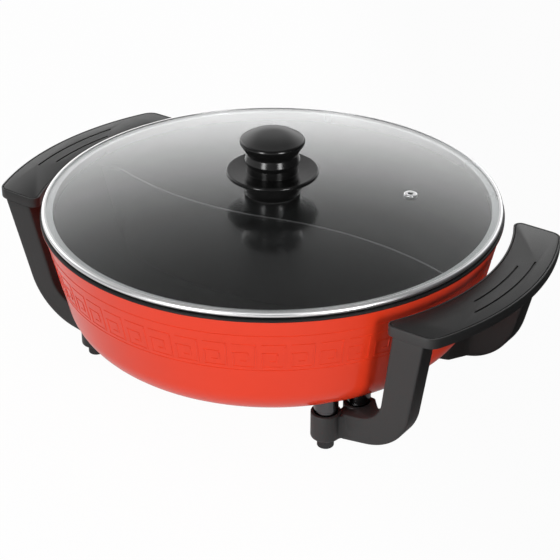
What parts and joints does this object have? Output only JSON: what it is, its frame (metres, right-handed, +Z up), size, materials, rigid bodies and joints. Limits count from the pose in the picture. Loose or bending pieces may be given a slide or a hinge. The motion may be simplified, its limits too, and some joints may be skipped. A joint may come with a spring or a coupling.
{
  "type": "electric hot pot",
  "caption": "Round electric hot pot: cast pan split by an S-shaped wall, black handles with legs, a lift-off glass lid with steel band and knob, and a plug-in inlet.",
  "frame": {"origin": "on the table under the pan's axis", "axes": "+X to the right-hand handle, +Y to the back where the control plugs in, +Z up"},
  "size_m": [0.4, 0.322, 0.174],
  "materials": {
    "enamel": "gloss red coat",
    "handle_plastic": "satin",
    "cover_plastic": "satin",
    "rubber": "matte",
    "post_metal": "turned",
    "screw_steel": "plated",
    "heater_sheath": "heat tinted",
    "ceramic": "bisque",
    "pin_metal": "plated",
    "glass": "clear",
    "polished_steel": "polished",
    "knob_plastic": "gloss",
    "brass": "turned"
  },
  "bodies": {
    "base": {"pan": "enamel", "handle_left": "handle_plastic", "handle_right": "handle_plastic", "grip_cover_left": "cover_plastic", "grip_cover_right": "cover_plastic", "cover_screws": "screw_steel", "foot_pads": "rubber", "standoffs": "post_metal", "leg_screws": "screw_steel", "leg_washers": "screw_steel", "heater_tube": "heater_sheath", "heater_clips": "screw_steel", "clip_screws": "screw_steel", "terminal_beads": "ceramic", "power_pins": "pin_metal", "inlet_housing": "handle_plastic", "inlet_plate": "handle_plastic", "inlet_screws": "screw_steel", "probe_sleeve": "pin_metal"},
    "lid": {"lid_glass": "glass", "lid_band": "polished_steel", "vent_eyelet": "polished_steel", "knob_skirt": "knob_plastic", "knob_grip": "knob_plastic", "knob_insert": "brass", "knob_seat": "rubber", "knob_gasket": "rubber", "knob_washer": "screw_steel", "knob_screw": "screw_steel"}
  },
  "joints": [
    {"name": "lid_lift", "type": "slide", "parent": "base", "child": "lid", "axis": [0, 0, 1], "range_m": [0, 0.15]}
  ]
}
